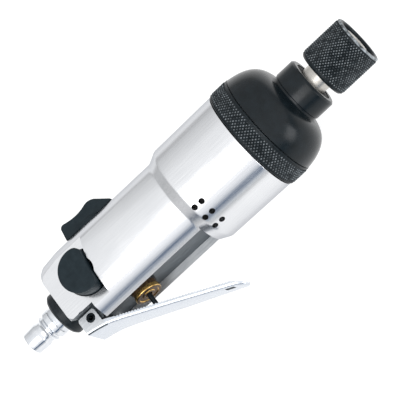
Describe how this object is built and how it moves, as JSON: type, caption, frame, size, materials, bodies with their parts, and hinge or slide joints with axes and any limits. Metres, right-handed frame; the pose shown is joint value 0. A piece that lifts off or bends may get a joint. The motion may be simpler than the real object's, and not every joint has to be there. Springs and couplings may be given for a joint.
{
  "type": "pneumatic screwdriver",
  "caption": "Straight lever-throttle air impact screwdriver with a hammer case, reversing buttons, a power regulator and a quick-change hex bit chuck.",
  "frame": {"origin": "middle of the flat floor of the hex bit socket, on the spindle axis", "axes": "+X along the spindle towards the bit, -Y towards the throttle lever, +Z out of the near reversing button"},
  "size_m": [0.1922, 0.0763, 0.0508],
  "materials": {
    "polished_aluminium": "bright polished",
    "chrome": "polished plate",
    "steel": "ground",
    "spring_steel": "drawn wire",
    "black_steel": "black oxide",
    "black_gloss": "glossy black coat",
    "black_plastic": "fine matte",
    "rubber": "smooth",
    "brass": "machined",
    "bronze": "machined",
    "vane_composite": "sawn laminate",
    "felt": "pressed felt"
  },
  "bodies": {
    "housing": {"housing": "polished_aluminium", "inlet_bushing": "black_steel", "air_plug": "chrome", "inlet_screen": "steel", "inlet_o_ring": "rubber", "lever_pin": "black_steel", "valve_bushing": "brass", "valve_gasket": "rubber", "stem_o_ring": "rubber", "valve_spring": "spring_steel", "reverse_bushing": "bronze", "rear_end_plate": "steel", "cylinder_liner": "steel", "front_end_plate": "steel", "rear_bearing_outer_race": "steel", "front_bearing_outer_race": "steel", "exhaust_muffler": "felt", "anvil_bushing": "bronze", "thrust_washer": "steel", "hammer_case": "black_gloss", "clamp_ring": "black_steel", "nose_seal": "rubber"},
    "lever": {"throttle_lever": "chrome"},
    "throttle_stem": {"valve_stem": "black_steel"},
    "regulator": {"regulator_knob": "black_plastic", "regulator_plug": "brass", "regulator_o_ring": "rubber"},
    "reverse_valve": {"reverse_spool": "steel", "reverse_button_near": "black_plastic", "reverse_button_far": "black_plastic"},
    "motor": {"rotor": "steel", "vane_1": "vane_composite", "vane_2": "vane_composite", "vane_3": "vane_composite", "vane_4": "vane_composite", "vane_5": "vane_composite", "rear_bearing_inner_race": "steel", "front_bearing_inner_race": "steel", "hammer_cage": "steel", "hammer_pin_rear": "steel", "hammer_pin_front": "steel"},
    "rear_balls": {"rear_bearing_ball_ring": "steel"},
    "front_balls": {"front_bearing_ball_ring": "steel"},
    "rear_hammer": {"hammer_dog_rear": "steel"},
    "front_hammer": {"hammer_dog_front": "steel"},
    "spindle": {"anvil": "chrome", "lock_ball_upper": "steel", "lock_ball_lower": "steel", "chuck_washer": "steel", "chuck_retaining_ring": "spring_steel", "chuck_spring": "spring_steel"},
    "sleeve": {"chuck_sleeve": "black_steel"}
  },
  "joints": [
    {"name": "lever_squeeze", "type": "hinge", "parent": "housing", "child": "lever", "pos_m": [-0.1447, -0.0133, 0], "axis": [0, 0, 1], "range_deg": [0, 14.4], "stiffness_Nm_per_rad": 0.6, "springref_deg": -20.05},
    {"name": "stem_push", "type": "slide", "parent": "housing", "child": "throttle_stem", "axis": [0, 1, 0], "range_m": [0, 0.007], "deforming": ["valve_spring"]},
    {"name": "regulator_turn", "type": "hinge", "parent": "housing", "child": "regulator", "pos_m": [-0.1215, 0, 0], "axis": [0, 1, 0], "range_deg": [0, 90]},
    {"name": "reverse_push", "type": "slide", "parent": "housing", "child": "reverse_valve", "axis": [0, 0, -1], "range_m": [0, 0.003]},
    {"name": "motor_spin", "type": "hinge", "parent": "housing", "child": "motor", "pos_m": [-0.09, 0, 0], "axis": [1, 0, 0], "continuous": true},
    {"name": "rear_balls_spin", "type": "hinge", "parent": "housing", "child": "rear_balls", "pos_m": [-0.11, 0, 0], "axis": [1, 0, 0], "continuous": true},
    {"name": "front_balls_spin", "type": "hinge", "parent": "housing", "child": "front_balls", "pos_m": [-0.073, 0, 0], "axis": [1, 0, 0], "continuous": true},
    {"name": "rear_hammer_swing", "type": "hinge", "parent": "motor", "child": "rear_hammer", "pos_m": [-0.0576, 0.0146, 0], "axis": [1, 0, 0], "range_deg": [-3, 3]},
    {"name": "front_hammer_swing", "type": "hinge", "parent": "motor", "child": "front_hammer", "pos_m": [-0.0446, -0.0146, 0], "axis": [1, 0, 0], "range_deg": [-3, 3]},
    {"name": "spindle_spin", "type": "hinge", "parent": "housing", "child": "spindle", "pos_m": [0, 0, 0], "axis": [1, 0, 0], "continuous": true},
    {"name": "sleeve_pull", "type": "slide", "parent": "spindle", "child": "sleeve", "axis": [1, 0, 0], "range_m": [0, 0.0035], "stiffness_N_per_m": 1500, "springref_m": -0.003, "deforming": ["chuck_spring"]}
  ],
  "couplings": [
    {"joint": "stem_push", "follows": "lever_squeeze", "m_per_rad": 0.02746},
    {"joint": "rear_balls_spin", "follows": "motor_spin", "ratio": 0.42},
    {"joint": "front_balls_spin", "follows": "motor_spin", "ratio": 0.42},
    {"joint": "spindle_spin", "follows": "motor_spin", "ratio": 1}
  ]
}
